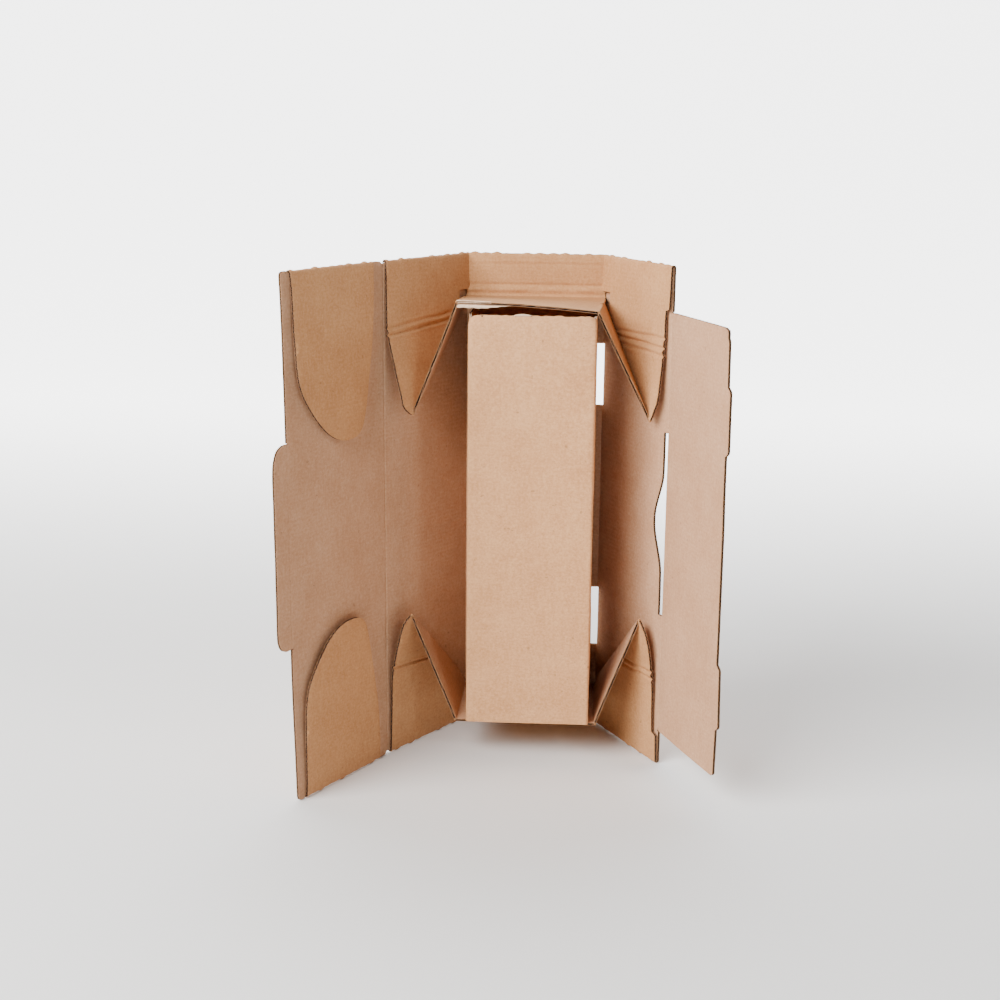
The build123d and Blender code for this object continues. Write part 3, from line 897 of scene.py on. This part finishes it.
def crease_strip(name, O, Da, Db, Na, Nb, z0, z1, node, warp_b=None, mat_in=INNER, bump=0.24):
    """The creased board itself, between two flaps: a pinched, slightly
    rounded strip that bends as the flap turns."""
    xs_ = np.linspace(-CS, CS, 15)
    zs = np.arange(z0, z1 + 0.01, 2.0)
    zs[-1] = z1
    n, m = len(xs_), len(zs)
    P = []
    for h in (VT / 2, -VT / 2):
        X, Z = np.meshgrid(xs_, zs, indexing="ij")
        x, z = X.ravel(), Z.ravel()
        k = sstep(x, -CS, CS)
        s = np.abs(x)
        D = np.where((x < 0)[:, None], Da[None, :], Db[None, :])
        pin = 1 - bump / H * gauss(x, 0, 0.9)
        nrm = Na[None, :] * (1 - k)[:, None] + Nb[None, :] * k[:, None]
        nrm /= np.linalg.norm(nrm, axis=1)[:, None]
        hh = h * pin + 0.05 * N1(z / 6, x)
        wv = warp_b(np.maximum(x, 0), z) if warp_b else 0 * x
        P.append(O + s[:, None] * D + z[:, None] * ZUP + (hh + wv)[:, None] * nrm)
    V = np.concatenate(P)
    F, M = [], []
    for side in (0, 1):
        b = side * n * m
        for i in range(n - 1):
            for j in range(m - 1):
                q = (b + i * m + j, b + (i + 1) * m + j, b + (i + 1) * m + j + 1, b + i * m + j + 1)
                F.append(q if side == 0 else q[::-1])
                M.append(1 if side == 0 else 0)
    for j in (0, m - 1):
        for i in range(n - 1):
            q = (i * m + j, (i + 1) * m + j, n * m + (i + 1) * m + j, n * m + i * m + j)
            F.append(q if j else q[::-1])
            M.append(2)
    me = bpy.data.meshes.new(name)
    me.from_pydata(((V + SHIFT) / 1000).tolist(), [], F)
    for q in (OUTER, mat_in, EDGE):
        me.materials.append(q)
    for p, k in zip(me.polygons, M):
        p.use_smooth = k != 2
        p.material_index = k
    me.update()
    ob = bpy.data.objects.new(name, me)
    bpy.context.scene.collection.objects.link(ob)
    # faces look outwards
    import bmesh
    bm = bmesh.new()
    bm.from_mesh(me)
    bmesh.ops.recalc_face_normals(bm, faces=bm.faces[:])
    bm.to_mesh(me)
    bm.free()
    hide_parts(node)
    axis = Db - Da
    axis /= np.linalg.norm(axis)
    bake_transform(ob)
    return ob


crease_strip("lid_crease", BL, -DL, DLID, NL, NLID, RO + 0.4, BOX_H - RO - 0.4, "lid", warp_b=lid_warp, bump=0.42)
TAB0, TAB1 = 121.0, 276.0
tab_warp = lambda s, z: lid_warp(LID_W + s, z)
o = [(CS, TAB0)] + catmull([(7, TAB0 - 0.2), (11, TAB0 + 1.6), (14, TAB0 + 6.5), (15.1, TAB0 + 15),
                            (15, TAB0 + 40), (15, TAB1 - 40), (15, TAB1 - 22),
                            (14, TAB1 - 12), (10.5, TAB1 - 4), (5, TAB1 - 0.6)], 4) + [(CS, TAB1)]
c = [True] * (len(o) - 1) + [False]
sheet("tab_panel", "tuck_tab", "tuck_tab", o, c, panel_map(AL, DLID, NLID, tab_warp), xs=[2.0, 2.8], step=4.0)
crease_strip("tab_crease", AL, -DLID, DLID, NLID, NLID, TAB0 + 0.1, TAB1 - 0.1, "tuck_tab",
             warp_b=lambda s, z: lid_warp(np.full_like(z, LID_W), z), bump=0.16)

# ---------------------------------------------------------------------------
# 4. roll-over panel
# ---------------------------------------------------------------------------
o = [(CS, ROLL_Z0), (ROLL_W - 2, ROLL_Z0 + 0.2), (ROLL_W + 0.3, ROLL_Z0 + 2.6)]
for z0, z1 in ((68.4, 114.0), (276.0, 320.6)):
    o += [(ROLL_W + 0.4, z0 - 3.0), (ROLL_W + LUG_D - 0.6, z0 - 0.4), (ROLL_W + LUG_D, z0 + 1.2), (ROLL_W + LUG_D, z1 - 1.5), (ROLL_W + LUG_D - 0.8, z1 + 0.2), (ROLL_W + 0.2, z1 + 2.6)]
o += [(ROLL_W - 0.4, ROLL_Z1 - 9), (ROLL_W - 1.2, ROLL_Z1 - 6.5), (ROLL_W + 0.6, ROLL_Z1 - 3.0), (ROLL_W + 0.9, ROLL_Z1 - 0.6), (ROLL_W - 5, ROLL_Z1 + 0.1), (CS, ROLL_Z1),
      (CS, 271.5), (0.1, 271.4), (0.1, 124.6), (CS, 124.5)]
c = [True] * len(o)
c[-1] = False
c[len(o) - 5] = False


def roll_dent(s, z):
    d = np.hypot((s - ROLL_W) / 9.0, (z - ROLL_Z1) / 10.0)
    return warp_roll(s, z) * sstep(s, 0, 6) + 2.2 * np.clip(1 - d, 0, 1) ** 1.5


sheet("rollover_sheet", "rollover_panel", "rollover_panel", o, c, panel_map(DR, DROL, NROL, roll_dent), xs=[2, 2.6, 3.5, 86, 88, 89, 91, 92, 93, 94, 95], ys=[352, 354, 356, 358, 359.5, 361, 362.5, 363.5], step=5.0)
for t, z0, z1 in (("low", ROLL_Z0, 124.5), ("top", 271.5, ROLL_Z1)):
    crease_strip("rollover_crease_" + t, DR, -DRR, DROL, NR, NROL, z0 + 0.1, z1 - 0.1, "rollover_panel")

# ---------------------------------------------------------------------------
# 5. inner sleeve
# ---------------------------------------------------------------------------
SR = 1.9 - H
hw, hd = SLEEVE_W / 2 - H, SLEEVE_D / 2 - H
seg = []
corners = [(-1, -1), (1, -1), (1, 1), (-1, 1)]
path = []
# middle line of the tube, starting in the middle of the back
per = []


def ring_path():
    pts, nrm = [], []
    seq = [((0, hd), (-hw + SR, hd), (0, 1)), (None, (-hw + SR, hd - SR), (90, 180)),
           ((-hw, hd - SR), (-hw, -hd + SR), (-1, 0)), (None, (-hw + SR, -hd + SR), (180, 270)),
           ((-hw + SR, -hd), (hw - SR, -hd), (0, -1)), (None, (hw - SR, -hd + SR), (270, 360)),
           ((hw, -hd + SR), (hw, hd - SR), (1, 0)), (None, (hw - SR, hd - SR), (0, 90)),
           ((hw - SR, hd), (0, hd), (0, 1))]
    L_, P_, N_ = [0.0], [], []
    for a, b, cc in seq:
        if a is not None:
            a, b = np.array(a, float), np.array(b, float)
            k = 30
            for i in range(k + 1):
                P_.append(a + (b - a) * i / k)
                N_.append(np.array(cc, float))
        else:
            for i in range(9):
                th = math.radians(cc[0] + (cc[1] - cc[0]) * i / 8)
                v = np.array([math.cos(th), math.sin(th)])
                P_.append(np.array(b) + SR * v)
                N_.append(v)
    P_, N_ = np.array(P_), np.array(N_)
    ln = np.concatenate([[0], np.cumsum(np.hypot(*(P_[1:] - P_[:-1]).T))])
    keep = np.concatenate([[True], np.diff(ln) > 1e-6])
    return ln[keep], P_[keep], N_[keep]


rl, rp_, rn = ring_path()
PER = float(rl[-1])
sl_z0 = END_LOW + H
sl_y = -SLEEVE_D / 2


def sleeve_m(x, y, h):
    px, py = np.interp(x, rl, rp_[:, 0]), np.interp(x, rl, rp_[:, 1])
    nx, ny = np.interp(x, rl, rn[:, 0]), np.interp(x, rl, rn[:, 1])
    # bruised top corners and a slight belly of each face
    topk = sstep(y, SLEEVE_H - 9, SLEEVE_H)
    xx, yy = px, py
    cfl = np.hypot(xx + hw, yy + hd)
    cfr = np.hypot(xx - hw, yy + hd)
    bruise = -1.5 * topk * (np.exp(-(cfl / 5.0) ** 2) + 0.8 * np.exp(-(cfr / 4.0) ** 2))
    belly = 0.35 * N1(x / 40, y / 70) + 0.07 * N2(x / 9, y / 9)
    edge_pin = 1 - 0.25 * np.exp(-(np.abs(np.abs(nx) - np.abs(ny)) / 0.5) ** 2)
    hh = -h * edge_pin + bruise + belly * (np.abs(np.abs(nx) - np.abs(ny)) > 0.9)
    front = (ny < -0.9)
    dg = (sl_z0 + y) - (356.0 + (xx + 45.0) * 0.62)
    hh = hh + np.where(front & (xx < -22) & (y > SLEEVE_H - 24), -0.45 * gauss(dg, 0.0, 0.8) + 0.2 * gauss(dg, 1.7, 1.0), 0.0)
    drop = topk * (1.8 * np.exp(-(cfl / 4.0) ** 2) + 1.2 * np.exp(-(cfr / 3.0) ** 2)) + 0.25 * topk * N3(x / 3, 0 * x)
    return np.stack([SLEEVE_X + px + hh * nx, sl_y + py + hh * ny, sl_z0 + y - drop], 1)


corner_x = [float(v) for v in rl if True]
o = [(0, 0), (PER, 0), (PER, SLEEVE_H), (0, SLEEVE_H)]
cxs = []
for i in range(len(rl) - 1):
    if abs(abs(rn[i][0]) - abs(rn[i][1])) < 0.999:
        cxs.append(rl[i])
# densify the rims so that they follow the corners
rim_x = sorted(set(np.round(np.concatenate([np.arange(0, PER, 1.2), cxs, [PER]]), 4)))
o = [(v, 0) for v in rim_x] + [(v, SLEEVE_H) for v in rim_x[::-1]]
c = [True] * (len(rim_x) - 1) + [False] + [True] * (len(rim_x) - 1) + [False]
sheet("sleeve_tube", "root", "inner_sleeve", o, c, sleeve_m, xs=cxs, ys=[SLEEVE_H - q for q in (1, 2, 3, 4, 5, 6, 7, 8, 9, 10, 11, 12, 13, 14, 15, 16, 18, 20, 22)], step=6.0,
      slots=[SLEEVE_IN, SLEEVE, TORN, FLUTE_SHADE, TORN], flute_of=lambda x, y: x, thick=T)

def ribbon(name, node, rows, mat, body="root", th=0.28):
    """Thin strip of paper through rows of points, with a little thickness."""
    R_ = np.array(rows, float)                       # (n, m, 3)
    n, m = R_.shape[:2]
    du = np.gradient(R_, axis=0)
    dw = np.gradient(R_, axis=1)
    nn = np.cross(du, dw)
    nn /= np.maximum(np.linalg.norm(nn, axis=2), 1e-9)[:, :, None]
    V = np.concatenate([(R_ + nn * th / 2).reshape(-1, 3), (R_ - nn * th / 2).reshape(-1, 3)])
    k = n * m
    F = []
    for i in range(n - 1):
        for j in range(m - 1):
            a_, b_, c_, d_ = i * m + j, (i + 1) * m + j, (i + 1) * m + j + 1, i * m + j + 1
            F += [(a_, b_, c_, d_), (d_ + k, c_ + k, b_ + k, a_ + k)]
    rim_ = [i * m for i in range(n)] + [(n - 1) * m + j for j in range(1, m)] + [i * m + m - 1 for i in range(n - 2, -1, -1)] + [j for j in range(m - 2, 0, -1)]
    for q in range(len(rim_)):
        a_, b_ = rim_[q], rim_[(q + 1) % len(rim_)]
        F.append((b_, a_, a_ + k, b_ + k))
    me = bpy.data.meshes.new(name)
    me.from_pydata(((V + SHIFT) / 1000).tolist(), [], F)
    me.materials.append(mat)
    for p in me.polygons:
        p.use_smooth = True
    ob = bpy.data.objects.new(name, me)
    bpy.context.scene.collection.objects.link(ob)
    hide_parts(node)
    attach(ob, body)
    return ob


# liner that has split from the bulkhead's front edge at its left end
fz = lambda x: np.interp(x, [-56.5, 56.5], [370.6, 363.8]) + 1.2 * math.sin(math.pi * (x + 56.5) / 113.0)
rows = []
for x in np.linspace(-56.2, -14.0, 34):
    t_ = (x + 56.2) / 42.2
    z_ = fz(x)
    dr = 3.6 * min(1.0, (1 - t_) * 1.9) * (0.92 + 0.08 * math.sin(x * 0.9))
    y0_ = -91.7
    rows.append([(x, y0_ + 3.2, z_ - 1.2), (x, y0_ - 0.3, z_ - 1.25 - 0.15 * dr), (x, y0_ - 1.0, z_ - 1.2 - 0.55 * dr), (x, y0_ - 1.1, z_ - 1.2 - dr)])
ribbon("bulkhead_split_liner", "box_body", rows, TORN)
rows = []
for x in np.linspace(-56.4, -30.0, 24):
    t_ = (x + 56.4) / 26.4
    z_ = fz(x)
    rows.append([(x, -91.2, z_ + 0.95), (x, -92.3, z_ + 0.75), (x, -92.6, z_ - 0.1 - 0.6 * (1 - t_)), (x, -92.2, z_ - 0.5 - 0.6 * (1 - t_))])
ribbon("bulkhead_lip", "box_body", rows, TORN, th=0.3)
# curl of paper torn from the sleeve's rim
rows = []
for u_ in np.linspace(0, 1, 14):
    x = -12.5 + 13.0 * u_
    lift = 0.9 * math.sin(math.pi * min(u_ * 1.1, 1.0)) ** 0.8
    rows.append([(x, -97.2, 360.4), (x + 0.2, -98.2, 361.4 + 0.25 * lift), (x + 0.5, -98.6, 361.6 + 0.7 * lift), (x + 0.8, -98.0, 361.7 + lift)])
ribbon("sleeve_torn_curl", "inner_sleeve", rows, TORN, th=0.22)

# ---------------------------------------------------------------------------
# floor, light and camera
# ---------------------------------------------------------------------------
fm = bpy.data.materials.new("studio_floor")
fm.use_nodes = True
ft_ = fm.node_tree
b = ft_.nodes["Principled BSDF"]
b.inputs["Base Color"].default_value = (0.78, 0.78, 0.78, 1)
b.inputs["Roughness"].default_value = 0.9
b.inputs["Specular IOR Level"].default_value = 0.1
b.inputs["Emission Color"].default_value = (1, 1, 1, 1)
tcf = ft_.nodes.new("ShaderNodeTexCoord")
spf = ft_.nodes.new("ShaderNodeSeparateXYZ")
ft_.links.new(tcf.outputs["Object"], spf.inputs[0])
mrf = ft_.nodes.new("ShaderNodeMapRange")
mrf.interpolation_type = "SMOOTHSTEP"
mrf.inputs["From Min"].default_value = 0.15
mrf.inputs["From Max"].default_value = 1.7
mrf.inputs["To Min"].default_value = 0.0
mrf.inputs["To Max"].default_value = 3.6
ft_.links.new(spf.outputs["Y"], mrf.inputs["Value"])
ft_.links.new(mrf.outputs[0], b.inputs["Emission Strength"])
prof_ = [(-6.0, 0.0), (1.6, 0.0)] + [(1.6 + 1.2 * math.sin(math.radians(q)), 1.2 - 1.2 * math.cos(math.radians(q))) for q in range(6, 91, 6)] + [(2.8, 5.0)]
fv = [(x_, y_, z_) for y_, z_ in prof_ for x_ in (-7.0, 7.0)]
me = bpy.data.meshes.new("studio_floor")
me.from_pydata(fv, [], [(2 * k, 2 * k + 1, 2 * k + 3, 2 * k + 2) for k in range(len(prof_) - 1)])
for p_ in me.polygons:
    p_.use_smooth = True
me.materials.append(fm)
floor = bpy.data.objects.new("studio_floor", me)
bpy.context.scene.collection.objects.link(floor)

# little light from the room, so that the inside keeps its shading
w = bpy.data.worlds.new("studio")
bpy.context.scene.world = w
w.use_nodes = True
w.node_tree.nodes["Background"].inputs[0].default_value = (1.0, 1.0, 1.0, 1)
w.node_tree.nodes["Background"].inputs[1].default_value = 0.05


def area(name, az, el, dist, size, power, col=(1, 1, 1)):
    """Soft light at an azimuth (degrees to the right of the front) and height."""
    tgt = Vector((0.0, 0.03, 0.2))
    a, e = math.radians(az), math.radians(el)
    loc = tgt + dist * Vector((math.sin(a) * math.cos(e), -math.cos(a) * math.cos(e), math.sin(e)))
    d = bpy.data.lights.new(name, "AREA")
    d.shape = "RECTANGLE"
    d.size, d.size_y = size
    d.energy = power
    d.color = col
    o_ = bpy.data.objects.new(name, d)
    bpy.context.scene.collection.objects.link(o_)
    o_.location = loc
    o_.rotation_euler = (tgt - loc).to_track_quat("-Z", "Y").to_euler()
    return o_


area("key_left", -43, 34, 2.2, (2.0, 1.1), 128, (1.0, 0.985, 0.96))
area("side_right", 42.0, 28, 2.2, (0.16, 0.2), 6.5, (1.0, 0.97, 0.93))

yaw, pitch, roll = math.radians(-3.5), math.radians(13.5), math.radians(0.6)
f_ = Vector((math.sin(yaw) * math.cos(pitch), math.cos(yaw) * math.cos(pitch), -math.sin(pitch)))
r_ = Vector((math.cos(yaw), -math.sin(yaw), 0))
u_ = r_.cross(f_)
r2 = math.cos(roll) * r_ + math.sin(roll) * u_
u2 = -math.sin(roll) * r_ + math.cos(roll) * u_
cam = bpy.data.cameras.new("camera")
cam.sensor_width = 36.0
cam.lens = 36.0 * 1.6081
cam.clip_start = 0.05
cam.clip_end = 50
co = bpy.data.objects.new("camera", cam)
bpy.context.scene.collection.objects.link(co)
mw = Matrix((r2, u2, -f_)).transposed().to_4x4()
mw.translation = Vector(((52.6 + SHIFT[0]) / 1000, (-1309.6 + SHIFT[1]) / 1000, 0.5093))
co.matrix_world = mw
bpy.context.scene.camera = co
